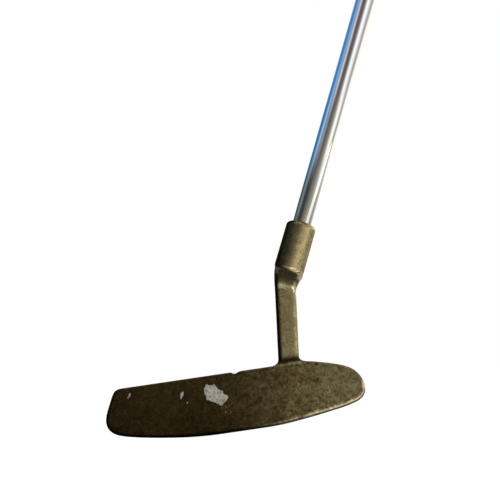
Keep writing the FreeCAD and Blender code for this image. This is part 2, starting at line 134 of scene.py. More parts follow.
def surface(f, origin, h):
    """Quads on the zero level of a grid of distances."""
    neg = f < 0
    act = np.zeros(tuple(n - 1 for n in f.shape), bool)
    allneg = np.ones_like(act)
    for dx in (0, 1):
        for dy in (0, 1):
            for dz in (0, 1):
                c = neg[dx:dx + act.shape[0], dy:dy + act.shape[1], dz:dz + act.shape[2]]
                act |= c
                allneg &= c
    act &= ~allneg
    del allneg
    idx = np.argwhere(act)
    number = np.full(act.shape, -1, np.int32)
    number[act] = np.arange(len(idx), dtype=np.int32)
    x, y, z = idx.T
    corners = {}
    for dx in (0, 1):
        for dy in (0, 1):
            for dz in (0, 1):
                corners[dx, dy, dz] = f[x + dx, y + dy, z + dz]
    acc = np.zeros((len(idx), 3))
    cnt = np.zeros(len(idx))
    for ax in range(3):
        for a in (0, 1):
            for b in (0, 1):
                c0, c1 = [0, 0, 0], [0, 0, 0]
                o = [k for k in range(3) if k != ax]
                c0[o[0]] = c1[o[0]] = a
                c0[o[1]] = c1[o[1]] = b
                c1[ax] = 1
                v0, v1 = corners[tuple(c0)], corners[tuple(c1)]
                m = (v0 < 0) != (v1 < 0)
                t = np.where(m, v0 / np.where(m, v0 - v1, 1), 0)
                p = np.zeros((len(idx), 3))
                p[:, o[0]] = a
                p[:, o[1]] = b
                p[:, ax] = t
                acc += p * m[:, None]
                cnt += m
    q = idx + acc / cnt[:, None]
    quads = []
    for ax in range(3):
        o = [k for k in range(3) if k != ax]
        lo, hi = [slice(1, -1)] * 3, [slice(1, -1)] * 3
        lo[ax], hi[ax] = slice(0, -1), slice(1, None)
        s0, s1 = neg[tuple(lo)], neg[tuple(hi)]
        e = np.argwhere(s0 != s1)
        flip = s0[s0 != s1]
        for k in o:
            e[:, k] += 1
        cell = []
        for a, b in ((-1, -1), (0, -1), (0, 0), (-1, 0)):
            c = e.copy()
            c[:, o[0]] += a
            c[:, o[1]] += b
            cell.append(number[c[:, 0], c[:, 1], c[:, 2]])
        qd = np.stack(cell, 1)
        if ax == 1:
            flip = ~flip
        qd[~flip] = qd[~flip][:, ::-1]
        quads.append(qd)
    quads = np.vstack(quads)
    for _ in range(3):
        e = 0.35
        gx = (sample(f, q + [e, 0, 0]) - sample(f, q - [e, 0, 0])) / (2 * e)
        gy = (sample(f, q + [0, e, 0]) - sample(f, q - [0, e, 0])) / (2 * e)
        gz = (sample(f, q + [0, 0, e]) - sample(f, q - [0, 0, e])) / (2 * e)
        g = np.stack([gx, gy, gz], 1)
        v = sample(f, q)
        step = -(v / np.maximum((g * g).sum(1), 1e-4))[:, None] * g
        q = q + np.clip(step, -0.5, 0.5)
    return np.array(origin) + q * h, quads, q


def mesh_object(name, verts_mm, faces, smooth=True):
    me = bpy.data.meshes.new(name)
    verts = np.asarray(verts_mm, np.float64) * MM
    faces = np.asarray(faces, np.int32)
    n = faces.shape[1]
    me.vertices.add(len(verts))
    me.vertices.foreach_set("co", verts.astype(np.float32).ravel())
    me.loops.add(faces.size)
    me.loops.foreach_set("vertex_index", faces.ravel())
    me.polygons.add(len(faces))
    me.polygons.foreach_set("loop_start", np.arange(0, faces.size, n, dtype=np.int32))
    me.polygons.foreach_set("loop_total", np.full(len(faces), n, np.int32))
    me.polygons.foreach_set("use_smooth", np.full(len(faces), smooth))
    me.update(calc_edges=True)
    me.validate()
    o = bpy.data.objects.new(name, me)
    bpy.context.scene.collection.objects.link(o)
    return o


def grid_object(name, rings, close_ring=True, caps=True, smooth=True):
    """Skin over rings of points, in millimetres."""
    R = np.array(rings)
    n, m = R.shape[:2]
    verts = R.reshape(-1, 3).tolist()
    faces = []
    for i in range(n - 1):
        for j in range(m if close_ring else m - 1):
            k = (j + 1) % m
            faces.append((i * m + j, i * m + k, (i + 1) * m + k, (i + 1) * m + j))
    me = bpy.data.meshes.new(name)
    if caps:
        faces.append(tuple(reversed(range(m))))
        faces.append(tuple(range((n - 1) * m, n * m)))
    me.from_pydata([Vector(v) * MM for v in verts], [], faces)
    me.polygons.foreach_set("use_smooth", [smooth] * len(me.polygons))
    me.update()
    o = bpy.data.objects.new(name, me)
    bpy.context.scene.collection.objects.link(o)
    return o


# ------------------------------------------------------------------ the head: one casting, as a field of distances
heel_pts = [(33.0, TOP), (37.2, 26.58), (41.3, 25.68), (45.3, 24.68), (49.45, 23.46), (53.45, 21.92), (57.2, 19.25),
            (59.3, 16.0), (60.2, 12.4), (60.0, 9.6), (58.5, 7.3), (55.4, 5.55), (50.25, 4.18), (45.75, 3.38),
            (41.5, 2.74), (37.2, 2.1), (33.0, 1.56), (28.8, 1.06), (24.6, 0.62), (20.4, 0.27), (16.3, 0.07), (12.5, 0.0)]
toe_pts = [(-9.0, 0.0), (-12.8, 0.08), (-16.7, 0.25), (-20.8, 0.5), (-24.8, 0.84), (-28.9, 1.28), (-33.0, 1.78),
           (-37.1, 2.34), (-41.1, 2.95), (-45.2, 3.62), (-49.3, 4.4), (-53.35, 5.4), (-57.25, 7.15), (-59.5, 9.6),
           (-60.2, 12.3), (-59.93, 15.13), (-59.27, 17.2), (-58.55, 19.1), (-57.8, 20.9), (-57.05, 22.7), (-56.2, 24.52),
           (-54.95, 26.06), (-52.6, 26.76), (-51.0, TOP)]
poly = np.vstack([cubic(heel_pts, 260, end0=(1, 0), end1=(-1, 0)), cubic(toe_pts, 260, end0=(-1, 0), end1=(1, 0))])


def poly_distance(X, Z):
    best = np.full(X.shape, 1e9)
    inside = np.zeros(X.shape, bool)
    a = poly
    b = np.roll(poly, -1, axis=0)
    for (x0, z0), (x1, z1) in zip(a, b):
        ex, ez = x1 - x0, z1 - z0
        wx, wz = X - x0, Z - z0
        t = np.clip((wx * ex + wz * ez) / max(ex * ex + ez * ez, 1e-12), 0, 1)
        dx, dz = wx - ex * t, wz - ez * t
        best = np.minimum(best, dx * dx + dz * dz)
        if z0 != z1:
            c = ((z0 <= Z) != (z1 <= Z)) & (X < x0 + (Z - z0) * ex / ez)
            inside ^= c
    d = np.sqrt(best)
    return np.where(inside, -d, d)


H = 0.34
lo = np.array([-61.5, -24.2, -1.4])
hi = np.array([61.5, 16.2, 95.2])
shape = np.ceil((hi - lo) / H).astype(int) + 1
xs = (lo[0] + H * np.arange(shape[0])).astype(np.float32)
ys = (lo[1] + H * np.arange(shape[1])).astype(np.float32)
zs = (lo[2] + H * np.arange(shape[2])).astype(np.float32)
nb = int(np.searchsorted(zs, 34.0))                  # layers that the blade reaches
X = xs[:, None, None]
Y = ys[None, :, None]
Z = zs[None, None, :nb]

X2, Z2 = np.meshgrid(xs.astype(float), zs[:nb].astype(float), indexing="ij")
d2 = poly_distance(X2, Z2).astype(np.float32)[:, None, :]
d_face = -COSL * (Y - FACE_Y) + SINL * Z
d_back = Y - (TOPBACK - (45 - Z) / 50.0)
q1 = np.abs(X) - (61.0 - CR)
q2 = Y - (BACK - CR)
d_plan = np.minimum(np.maximum(q1, q2), 0) + np.sqrt(np.maximum(q1, 0) ** 2 + np.maximum(q2, 0) ** 2) - CR
WZ, WZB, LZ, FZ = 17.0, 14.2, 10.6, 5.3
CAVW, LEDW = 42.0, 70.0
CAVY = TOPBACK - 1.0
d_w = Z - (WZ - (WZ - WZB) * (Y - TOPBACK) / (BACK - TOPBACK))
ax = np.abs(X - SIGHT_X)
ledge = rmax(ax - (LEDW / 2 + (Z - LZ) * 0.075), (LZ - (Y - CAVY) * math.tan(math.radians(3.0))) - Z, 1.1)
cav = rmax(ax - (CAVW / 2 + (Z - FZ) * 0.0875), (FZ - (Y - CAVY) * math.tan(math.radians(2.5))) - Z, 1.1)
rear = rmax(rmax(d_w, -ledge, 0.8), -cav, 0.8)
prof = rmin(d_back, rear, 1.3)
er = 1.1 + 0.9 * np.clip((X - 2.0) / 26.0, 0, 1) * np.clip((15.0 - Z) / 6.0, 0, 1)      # rubbed rounder along the heel's sole
blade = rmax(d2, d_face, er)
blade = rmax(blade, prof, 1.15)
# the rim's rounding starts behind the blade and leaves its two ends alone
d_plan = d_plan - 2.4 * (1 - np.clip((Y - (TOPBACK - 2.0)) / 7.0, 0, 1) ** 2 * (3 - 2 * np.clip((Y - (TOPBACK - 2.0)) / 7.0, 0, 1)))
blade = rmax(blade, d_plan, 2.4)
# sight notch across the top line
sn = X - SIGHT_X
vee = np.maximum(np.maximum(-(sn + 1.98) * 0.84 - (Z - TOP) * 0.54, (TOP - 1.02) - Z), (sn - 1.85) * 0.4 - (Z - TOP) * 0.92)
blade = rmax(blade, -vee, 0.2)
# sight line along the flange
sl = np.maximum(np.maximum(np.abs(sn) - 0.65, (FZ - (Y - CAVY) * math.tan(math.radians(2.5)) - 0.62) - Z), TOPBACK + 3.0 - Y)
blade = np.maximum(blade, -sl)
del d_w, ledge, cav, rear, prof, vee, sl

F = np.full(tuple(shape), 1e3, np.float32)
F[:, :, :nb] = blade
del blade

# neck, in a block of its own
i0, i1 = int(np.searchsorted(xs, 15.0)), int(np.searchsorted(xs, 56.0))
k0 = int(np.searchsorted(zs, 9.5))
X = xs[i0:i1][:, None, None]
Z = zs[k0:][None, None, :]
t = (X - G[0]) * S[0] + Z * S[2]
u = (X - G[0]) * U[0] + Z * U[2]
v = Y - AXY
PY0 = AXY - HOSEL_R + 14.4
PY1 = PY0 + 10.0
lx = cubic([(9.0, 22.96 + (9.0 - 32.83) * .1043), (32.83, 22.96), (51.0, 24.86), (57.0, 25.48), (59.8, 25.77), (62.7, 26.04),
            (65.6, 26.30), (68.2, 26.55), (70.4, 26.82), (72.0, 27.16), (74.0, 27.9)], 300)
rx = cubic([(9.0, 32.65 + (9.0 - 31.42) * .1162), (31.42, 32.65), (51.0, 34.93), (56.8, 35.56), (58.7, 35.72), (60.6, 35.98),
            (62.4, 36.62), (63.9, 37.50), (65.15, 38.50), (66.1, 39.25), (67.5, 40.2), (75.0, 43.8)], 300)
zf = Z.ravel()
XL = np.interp(zf, lx[:, 0], lx[:, 1])[None, None, :]
XR = np.interp(zf, rx[:, 0], rx[:, 1])[None, None, :]
g = np.where(zf < TOP + 3.0, 3.0 - np.sqrt(np.maximum(9.0 - np.clip(TOP + 3.0 - zf, 0, 3.0) ** 2, 0)), 0)[None, None, :] * (zf > 12)
tt = T0 - t
gf = 5.6 - np.sqrt(np.maximum(5.6 ** 2 - np.clip(5.6 - tt, 0, 5.6) ** 2, 0))
slope = 1.0 / np.sqrt(1 + np.gradient(XR.ravel(), zf) ** 2)[None, None, :]
dl = (XL - g - X) * 0.994
dr = (X - XR - 1.3 * g) * slope
yfront = PY0 - gf - 0.22 * g
d_front = (yfront - Y)
side = rmax(dl, dr, 0.5)
front = rmax(side, d_front, 1.9)
post = rmax(front, Y - PY1, 1.9)
post = np.maximum(post, t - (T0 + 1.0))
post = np.maximum(post, 9.5 - Z)
cyl = np.sqrt(u * u + v * v) - HOSEL_R
d_slope = ((t - (88.0 + 1.6)) * 15.6 + (v - 2.0) * 8.6) / math.hypot(15.6, 8.6)
YB = PY1 - AXY
bx = np.abs(u) - (7.08 - 2.4)
by = np.abs(v - YB / 2) - (YB / 2 - 2.4)
box = np.minimum(np.maximum(bx, by), 0) + np.sqrt(np.maximum(bx, 0) ** 2 + np.maximum(by, 0) ** 2) - 2.4
knuckle = rmax(box, rmin(d_slope, np.maximum(cyl, t - (T1 - 4.0)), 2.2), 1.2)
eh = 1.2 + 1.6 * np.clip((v + 6.0) / 6.0, 0, 1)          # the underside's rim, rounder at its sides
knuckle = rmax(knuckle, T0 - t, eh)
hosel = rmax(rmax(cyl, t - T1, 1.9), T0 - t, eh)
neck = np.minimum(np.minimum(post, knuckle), hosel)
# the flare stays behind the face's plane
neck = np.maximum(neck, -COSL * (Y - FACE_Y) + SINL * Z + 0.35 - 3.0 * np.maximum(0, Z - 32.0))
del post, side, front, knuckle, hosel, box, cyl
F[i0:i1, :, k0:] = np.minimum(F[i0:i1, :, k0:], neck)
del neck
F = blur(np.clip(F, -3, 3), 2)
# bore for the shaft, cut after the softening so that its rim stays crisp
k1 = int(np.searchsorted(zs, 66.0))
X = xs[i0:i1][:, None, None]
Z = zs[k1:][None, None, :]
t = (X - G[0]) * S[0] + Z * S[2]
u = (X - G[0]) * U[0] + Z * U[2]
rr = np.sqrt(u * u + v * v)
hole = np.maximum(rr - (BORE_R + np.clip(t - (T1 - 0.5), 0, 0.6)), (T1 - 4.0) - t)
F[i0:i1, :, k1:] = rmax(F[i0:i1, :, k1:], -hole, 0.15)
# how much the surface bulges or hollows, for the wear and painted light of edges and the darkening of corners
wide = blur(F[::2, ::2, ::2], 3)
V, Q, q = surface(F, lo, H)
bulge = sample(wide, q / 2.0) / 1.0
head = mesh_object("bronze_head", V, Q)
at = head.data.attributes.new("bulge", "FLOAT", "POINT")
if len(head.data.vertices) == len(bulge):
    at.data.foreach_set("value", np.asarray(bulge, np.float32))
del F, wide
print("head", len(head.data.vertices), "vertices")

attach(head, "root")
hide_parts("head")


# ------------------------------------------------------------------ shaft: tapered tip, then steps, polished chrome plate
def frame_point(t, a, r):
    """Round the shaft's axis: angle a from the side that faces the heel, through the back."""
    return G + S * t + r * (math.cos(a) * U + math.sin(a) * np.array([0, 1.0, 0]))


TIP_R, BUTT_R, TAPER_T, TAPER_R, STEPS, PITCH = 4.51, 7.365, 226.0, 5.36, 11, 33.5
prof = [(79.5, 4.2), (79.8, TIP_R), (100.5, TIP_R + 0.01), (TAPER_T - 1.0, TAPER_R)]
r, t = TAPER_R, TAPER_T
dr = (BUTT_R - TAPER_R) / STEPS
for i in range(STEPS):
    prof += [(t, r), (t + 0.25, r + dr * 0.08), (t + 0.8, r + dr * 0.5), (t + 1.35, r + dr * 0.92), (t + 1.6, r + dr)]
    t += PITCH
    r += dr
    prof.append((t - 1.0, r))
prof += [(885.2, BUTT_R), (885.6, BUTT_R - 0.3)]
dense = []
for (ta, ra), (tb, rb) in zip(prof[:-1], prof[1:]):
    k = max(1, int((tb - ta) / 6.0))
    for j in range(k):
        dense.append((ta + (tb - ta) * j / k, ra + (rb - ra) * j / k))
dense.append(prof[-1])
NS = 96
shaft = grid_object("chrome_shaft", [[frame_point(t, 2 * math.pi * j / NS, r) for j in range(NS)] for t, r in dense])
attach(shaft, "root")
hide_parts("shaft")

# ------------------------------------------------------------------ grip: flat front, pistol back, moulded pattern
TG1 = 889.0
TG0 = TG1 - 267.0
CAP_T = 4.6
GRIP = [(0.0, 9.1, 8.75, 9.2, 4.4), (18.0, 9.7, 8.95, 9.8, 4.4), (70.0, 10.7, 9.3, 10.9, 4.6), (130.0, 11.5, 9.6, 12.0, 4.9),
        (185.0, 12.2, 9.8, 13.6, 5.1), (225.0, 12.9, 10.0, 16.2, 5.4), (248.0, 13.2, 10.1, 17.0, 5.6),
        (267.0 - CAP_T, 13.2, 10.1, 16.6, 5.6)]
gk = cubic(GRIP, 1200)


def grip_outline(t, n):
    """n points round the grip at t from its mouth, with outward normals, starting at the middle of the flat."""
    hw, f, b, rc = [np.interp(t, gk[:, 0], gk[:, i]) for i in range(1, 5)]
    pts = [(f, 0.0), (f, hw - rc)]
    for a in np.linspace(0, math.pi / 2, 14)[1:]:
        pts.append((f - rc + rc * math.cos(a), hw - rc + rc * math.sin(a)))
    a0 = f - rc
    P = [(a0, hw), (a0 - (a0 + b) * 0.60, hw), (-b, hw * 0.56), (-b, 0.0)]
    for s in np.linspace(0, 1, 40)[1:]:
        w = [(1 - s)**3, 3 * s * (1 - s)**2, 3 * s * s * (1 - s), s**3]
        pts.append((sum(wi * p[0] for wi, p in zip(w, P)), sum(wi * p[1] for wi, p in zip(w, P))))
    pts = np.array(pts)
    L = np.concatenate([[0], np.cumsum(np.linalg.norm(np.diff(pts, axis=0), axis=1))])
    s = np.linspace(0, L[-1], n // 2 + 1)
    half = np.stack([np.interp(s, L, pts[:, 0]), np.interp(s, L, pts[:, 1])], 1)
    full = np.vstack([half, (half[1:-1] * [1, -1])[::-1]])
    d = np.roll(full, -1, 0) - np.roll(full, 1, 0)
    nrm = np.stack([d[:, 1], -d[:, 0]], 1)
    nrm /= np.linalg.norm(nrm, axis=1)[:, None]
    arc = np.concatenate([s, -s[1:-1][::-1]])
    return full, nrm, arc, hw, rc


def smoothstep(e0, e1, x):
    x = np.clip((x - e0) / (e1 - e0), 0, 1)
    return x * x * (3 - 2 * x)


def grip_depth(t, arc, hw, rc, girth):
    """How deep the mould's pattern goes at each point, in millimetres."""
    d = np.zeros_like(arc)
    flat = hw - rc * 0.75
    a = np.abs(arc)
    body = smoothstep(9, 11, t) * (1 - smoothstep(255, 257, t))
    # a groove either side of the flat, the length of the grip
    d += 0.45 * np.exp(-((a - flat - 1.1) / 0.38)**2) * body
    # chevrons across the flat, in groups
    group = (t - 22.0) % 78.0
    on = (smoothstep(0, 1.2, group) - smoothstep(56, 57.2, group)) * smoothstep(20, 22, t) * (1 - smoothstep(244, 246, t))
    ph = ((t - a * 0.55) % 3.4) / 3.4
    rib = smoothstep(0.05, 0.22, ph) - smoothstep(0.55, 0.72, ph)
    d += 0.42 * rib * on * (1 - smoothstep(flat - 1.0, flat - 0.2, a))
    # small pits in staggered rows round the back
    back = smoothstep(flat + 4.2, flat + 5.2, a) * smoothstep(14, 15, t) * (1 - smoothstep(250, 251, t))
    row = np.floor(t / 2.6)
    w = (a - flat - 5.2) / 2.9 + 0.5 * (row % 2)
    pw, pt = (w % 1.0) - 0.5, (t / 2.6) % 1.0 - 0.5
    d += 0.38 * (1 - smoothstep(0.26, 0.40, np.sqrt((pw * 1.05)**2 + (pt * 0.95)**2))) * back
    # parting line of the mould along the back
    d -= 0.07 * np.exp(-((girth / 2 - a) / 0.16)**2)
    return d


NG = 256
step = 0.42
ts = np.concatenate([[0.0, 0.12, 0.3, 0.6], np.arange(1.0, 267 - CAP_T - 0.05, step), [267 - CAP_T]])
rings = []
for t in ts:
    full, nrm, arc, hw, rc = grip_outline(t, NG)
    girth = 2 * np.abs(arc).max()
    d = grip_depth(t, arc, hw, rc, girth)
    d = d + 0.9 * (1 - math.sqrt(max(0.0, 1 - (1 - min(t, 0.9) / 0.9)**2)))
    e0 = (267 - CAP_T) - t
    d = d + 0.16 * math.exp(-(e0 / 0.35)**2)
    p = full - nrm * d[:, None]
    rings.append([G + S * (TG0 + t) - U * a + np.array([0, b, 0]) for a, b in p])
inner_r = BUTT_R + 0.21
rings = [[G + S * TG0 + (np.array(q) - G - S * TG0) / np.linalg.norm(np.array(q) - G - S * TG0) * inner_r for q in rings[0]]] + rings
grip = grid_object("rubber_grip", rings, caps=False)
# the grip is left open at both ends, its mouth turned in to just over the shaft's radius
me = grip.data
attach(grip, "root")
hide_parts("grip")


# ------------------------------------------------------------------ materials
class Tree:
    """Short forms for a material's nodes."""

    def __init__(self, name):
        self.m = bpy.data.materials.new(name)
        self.m.use_nodes = True
        self.t = self.m.node_tree
        self.b = self.t.nodes["Principled BSDF"]
        self.pos = self.t.nodes.new("ShaderNodeTexCoord").outputs["Object"]

    def link(self, a, b):
        self.t.links.new(a, b)

    def put(self, sock, v):
        if isinstance(v, (int, float)):
            sock.default_value = v
        elif isinstance(v, (tuple, list)):
            sock.default_value = v if len(v) == len(sock.default_value) else tuple(v) + (1,)
        else:
            self.link(v, sock)

    def math(self, op, a, b=0.0, c=0.0, clamp=False):
        n = self.t.nodes.new("ShaderNodeMath")
        n.operation = op
        n.use_clamp = clamp
        self.put(n.inputs[0], a)
        self.put(n.inputs[1], b)
        self.put(n.inputs[2], c)
        return n.outputs[0]

    def vmath(self, op, a, b=(0, 0, 0), scale=None):
        n = self.t.nodes.new("ShaderNodeVectorMath")
        n.operation = op
        self.put(n.inputs[0], a)
        self.put(n.inputs[1], b)
        if scale is not None:
            self.put(n.inputs[3], scale)
        return n.outputs[1] if op in ("LENGTH", "DOT_PRODUCT", "DISTANCE") else n.outputs[0]

    def xyz(self, v):
        n = self.t.nodes.new("ShaderNodeSeparateXYZ")
        self.put(n.inputs[0], v)
        return n.outputs

    def join(self, x, y, z):
        n = self.t.nodes.new("ShaderNodeCombineXYZ")
        for i, v in enumerate((x, y, z)):
            self.put(n.inputs[i], v)
        return n.outputs[0]

    def noise(self, size, detail=3.0, rough=0.55, vec=None, distort=0.0, stretch=None):
        """Noise with features about size millimetres across."""
        v = vec if vec is not None else self.pos
        if stretch is not None:
            v = self.vmath("MULTIPLY", v, stretch)
        n = self.t.nodes.new("ShaderNodeTexNoise")
        self.put(n.inputs["Vector"], v)
        n.inputs["Scale"].default_value = 1000.0 / size
        n.inputs["Detail"].default_value = detail
        n.inputs["Roughness"].default_value = rough
        n.inputs["Distortion"].default_value = distort
        return n.outputs["Fac"]

    def voronoi(self, size, vec=None, feature="F1"):
        n = self.t.nodes.new("ShaderNodeTexVoronoi")
        n.feature = feature
        self.put(n.inputs["Vector"], vec if vec is not None else self.pos)
        n.inputs["Scale"].default_value = 1000.0 / size
        return n.outputs["Distance"]

    def ramp(self, fac, stops, mode="LINEAR"):
        n = self.t.nodes.new("ShaderNodeValToRGB")
        n.color_ramp.interpolation = mode
        el = n.color_ramp.elements
        while len(el) < len(stops):
            el.new(0.5)
        for e, (p, c) in zip(el, stops):
            e.position = p
            e.color = (c, c, c, 1) if isinstance(c, (int, float)) else tuple(c) + (1,)
        self.put(n.inputs[0], fac)
        return n.outputs["Color"]

    def step(self, lo, hi, v):
        n = self.t.nodes.new("ShaderNodeMapRange")
        n.interpolation_type = "SMOOTHSTEP"
        self.put(n.inputs[0], v)
        self.put(n.inputs[1], lo)
        self.put(n.inputs[2], hi)
        return n.outputs[0]

    def mix(self, fac, a, b, mode="MIX"):
        n = self.t.nodes.new("ShaderNodeMix")
        n.data_type = "RGBA"
        n.blend_type = mode
        self.put(n.inputs[0], fac)
        self.put(n.inputs[6], a)
        self.put(n.inputs[7], b)
        return n.outputs[2]

    def attribute(self, name):
        n = self.t.nodes.new("ShaderNodeAttribute")
        n.attribute_name = name
        return n.outputs["Fac"]

    def bump(self, height, depth_mm, normal=None):
        n = self.t.nodes.new("ShaderNodeBump")
        n.inputs["Distance"].default_value = depth_mm * MM
        n.inputs["Strength"].default_value = 1.0
        self.put(n.inputs["Height"], height)
        if normal is not None:
            self.link(normal, n.inputs["Normal"])
        return n.outputs[0]

    def done(self, obj):
        obj.data.materials.clear()
        obj.data.materials.append(self.m)


def bronze():
    T = Tree("patinated_bronze")
    M3 = lambda a, b: T.math("MULTIPLY", a, b)
    ADD = lambda a, b: T.math("ADD", a, b)
    SUB = lambda a, b: T.math("SUBTRACT", a, b)
    x, y, z = T.xyz(T.vmath("MULTIPLY", T.pos, (1000, 1000, 1000)))
    geo = T.t.nodes.new("ShaderNodeNewGeometry")
    nx, ny, nz = T.xyz(geo.outputs["Normal"])
    blotch = T.noise(17, 4, 0.6, distort=0.5)
    mottle = T.noise(3.4, 5, 0.66, distort=0.8)
    grain = T.noise(0.75, 4, 0.65)
    fine = T.noise(0.3, 2, 0.5)
    bulge = T.attribute("bulge")
    onface = M3(T.step(-8.4, -8.9, y), T.step(28.5, 27.2, z))
    blade = T.step(30.5, 28.0, z)
    heelward = T.step(-20, 45, x)
    # patina: 0 is a thick chocolate brown, 1 is bronze rubbed thin by hands and cloths. Painted shade and painted
    # highlight are laid on this scale as well; the toe-to-heel ramp, dark to light, is partly patina and partly painted
    # shade
    along = T.ramp(M3(ADD(x, 60.0), 1 / 120.0), [(0.0, 0.155), (0.12, 0.18), (0.25, 0.20), (0.40, 0.165), (0.50, 0.20), (0.62, 0.275),
                                                (0.76, 0.335), (0.88, 0.44), (1.0, 0.41)])
    # painted shade low on the face, most towards the heel
    along = M3(along, SUB(1.01, M3(T.step(14, 5, z), ADD(0.10, M3(T.step(4, 24, x), 0.20)))))
    body = T.mix(onface, (0.40, 0.40, 0.40), along)
    # the neck's patina follows which way the surface faces: painted highlight on the side facing the heel, painted
    # shade on the side facing the toe
    neck = T.ramp(M3(ADD(nx, 1.0), 0.5), [(0.0, 0.10), (0.12, 0.13), (0.21, 0.26), (0.315, 0.54), (0.38, 0.73), (0.46, 0.78), (0.56, 0.74),
                                                 (0.64, 0.57), (0.72, 0.57), (0.80, 0.70), (0.87, 0.72), (0.95, 0.76)])
    t_ax = ADD(M3(SUB(x, GX), float(S[0])), M3(z, float(S[2])))
    u_ax = ADD(M3(SUB(x, GX), float(U[0])), M3(z, float(U[2])))
    # painted shade on the hosel's top shoulder, away from the heel's side
    neck = SUB(neck, M3(M3(T.step(T1 - 2.0, T1 - 0.8, t_ax), 0.62), T.step(0.75, 0.35, nx)))
    # the post's flat front is a shade greener and duller than the hosel, and darker towards the bottom
    post = M3(T.step(67.5, 65.5, t_ax), T.step(29.0, 31.0, z))
    neck = SUB(neck, M3(post, ADD(0.05, M3(T.step(62.0, 46.0, z), 0.05))))
    # painted highlight where the neck bends forward, a little smoother there; painted shade in the root above the blade
    lap = ADD(t_ax, M3(SUB(mottle, 0.5), 3.0))
    bend = M3(M3(T.step(67.6, 68.8, lap), T.step(71.6, 70.2, lap)), T.step(2.0, -6.0, y))
    neck = ADD(neck, M3(M3(bend, T.step(-0.75, -0.2, nx)), 0.46))
    # painted highlight along the rim of the hosel's underside, except on its toe side
    lip = M3(T.step(73.7, 74.6, t_ax), T.step(77.0, 75.9, ADD(t_ax, M3(SUB(mottle, 0.5), 2.0))))
    neck = ADD(neck, M3(M3(lip, T.step(-0.95, -0.3, nx)), 0.60))
    rim_highlight = lip
    # painted shade on the neck's surfaces that face down
    facing_down_shade = M3(T.step(-0.55, -0.85, nz), T.step(60.0, 66.0, z))
    neck = SUB(neck, M3(facing_down_shade, 0.20))
    p = T.mix(blade, neck, body)
    # painted shade in the fillet at the post's root, above the blade's top line
    root = M3(M3(M3(T.step(31.4, 28.6, z), T.step(23.5, 26.5, z)), SUB(1.0, onface)), M3(T.step(19.5, 23.5, x), T.step(39.0, 35.5, x)))
    p = SUB(p, M3(root, 0.42))
    speck = T.noise(1.7, 4, 0.7, vec=T.vmath("ADD", T.pos, (0.8, 0.3, 0.1)), distort=0.4)
    vary = ADD(M3(SUB(blotch, 0.5), 0.34), M3(SUB(mottle, 0.5), 0.95))
    vary = ADD(vary, M3(SUB(speck, 0.5), 0.85))
    vary = ADD(vary, M3(SUB(grain, 0.5), 0.62))
    drawn = T.noise(1.0, 3, 0.6, vec=T.vmath("MULTIPLY", T.pos, (1.0, 1.0, 0.22)))
    swing = T.mix(blade, ADD(M3(vary, 0.55), M3(SUB(drawn, 0.5), 0.30)), M3(vary, ADD(0.44, M3(heelward, 0.60))))
    p = ADD(p, swing)
    # edges worn, with a painted highlight along the heel's sole and darker on the blade's other edges; concave corners
    # darker and rougher
    sole_wear_and_highlight = M3(M3(T.step(0, 26, x), T.step(15.5, 12.0, z)), blade)
    edge = T.step(0.10, 0.30, ADD(bulge, M3(SUB(mottle, 0.5), 0.30)))
    pit = M3(T.step(-0.02, -0.14, bulge), T.step(44.0, 34.0, z))
    p = ADD(p, M3(edge, SUB(M3(sole_wear_and_highlight, 0.55), M3(M3(SUB(1.0, sole_wear_and_highlight), blade), 0.16))))
    # on the neck, edges facing the heel get a painted highlight and edges facing the toe a painted shade
    p = ADD(p, M3(M3(edge, SUB(1.0, blade)), T.ramp(M3(ADD(nx, 1.0), 0.5), [(0.3, 0.0), (0.6, 0.16)])))
    p = SUB(p, M3(M3(edge, SUB(1.0, blade)), T.ramp(M3(ADD(nx, 1.0), 0.5), [(0.3, 0.22), (0.6, 0.0)])))
    col = T.ramp(p, [(0.0, (0.030, 0.020, 0.008)), (0.10, (0.072, 0.047, 0.017)), (0.20, (0.115, 0.082, 0.033)), (0.40, (0.212, 0.173, 0.086)),
                     (0.60, (0.328, 0.280, 0.155)), (0.80, (0.462, 0.402, 0.230)), (1.0, (0.640, 0.570, 0.385))])
    warm = M3(T.step(0.50, 0.68, T.noise(8.5, 3, 0.55, vec=T.vmath("ADD", T.pos, (0.6, 0.2, 0.4)))), heelward)
    col = T.mix(M3(warm, 0.45), col, T.mix(1.0, col, (1.05, 0.92, 0.78), "MULTIPLY"))
    # olive-yellow specks where the patina is thin
    gold = M3(T.step(0.60, 0.70, T.noise(1.1, 3, 0.6, vec=T.vmath("ADD", T.pos, (0.15, 0.55, 0.25)))), T.step(0.48, 0.62, T.noise(7, 3, 0.6, vec=T.vmath("ADD", T.pos, (0.7, 0.9, 0.5)))))
    col = T.mix(M3(M3(gold, 0.60), T.step(-12, 30, x)), col, (0.44, 0.38, 0.17))
    # thin pale scuffs towards the heel of the face, in short arcs
    scuff = SUB(1.0, T.step(0.0, 0.022, T.math("ABSOLUTE", SUB(T.noise(7, 3, 0.6, distort=1.6), 0.5))))
    scuff = M3(scuff, M3(T.step(2, 40, x), onface))
    scuff = M3(scuff, T.step(0.42, 0.60, T.noise(9, 2, 0.5)))
    col = T.mix(M3(scuff, 0.55), col, (0.56, 0.47, 0.26))
    pock = M3(T.step(0.585, 0.68, T.noise(1.5, 4, 0.7, vec=T.vmath("ADD", T.pos, (0.31, 0.12, 0.7)))), T.step(0.40, 0.58, T.noise(6, 2, 0.5, vec=T.vmath("ADD", T.pos, (0.9, 0.4, 0.2)))))
    col = T.mix(M3(pock, ADD(0.35, M3(heelward, 0.4))), col, (0.045, 0.033, 0.016))
    col = T.mix(M3(pit, 0.85), col, (0.022, 0.022, 0.014))
    # the root's painted shade, dark and greenish
    col = T.mix(M3(root, 0.45), col, (0.024, 0.027, 0.018))
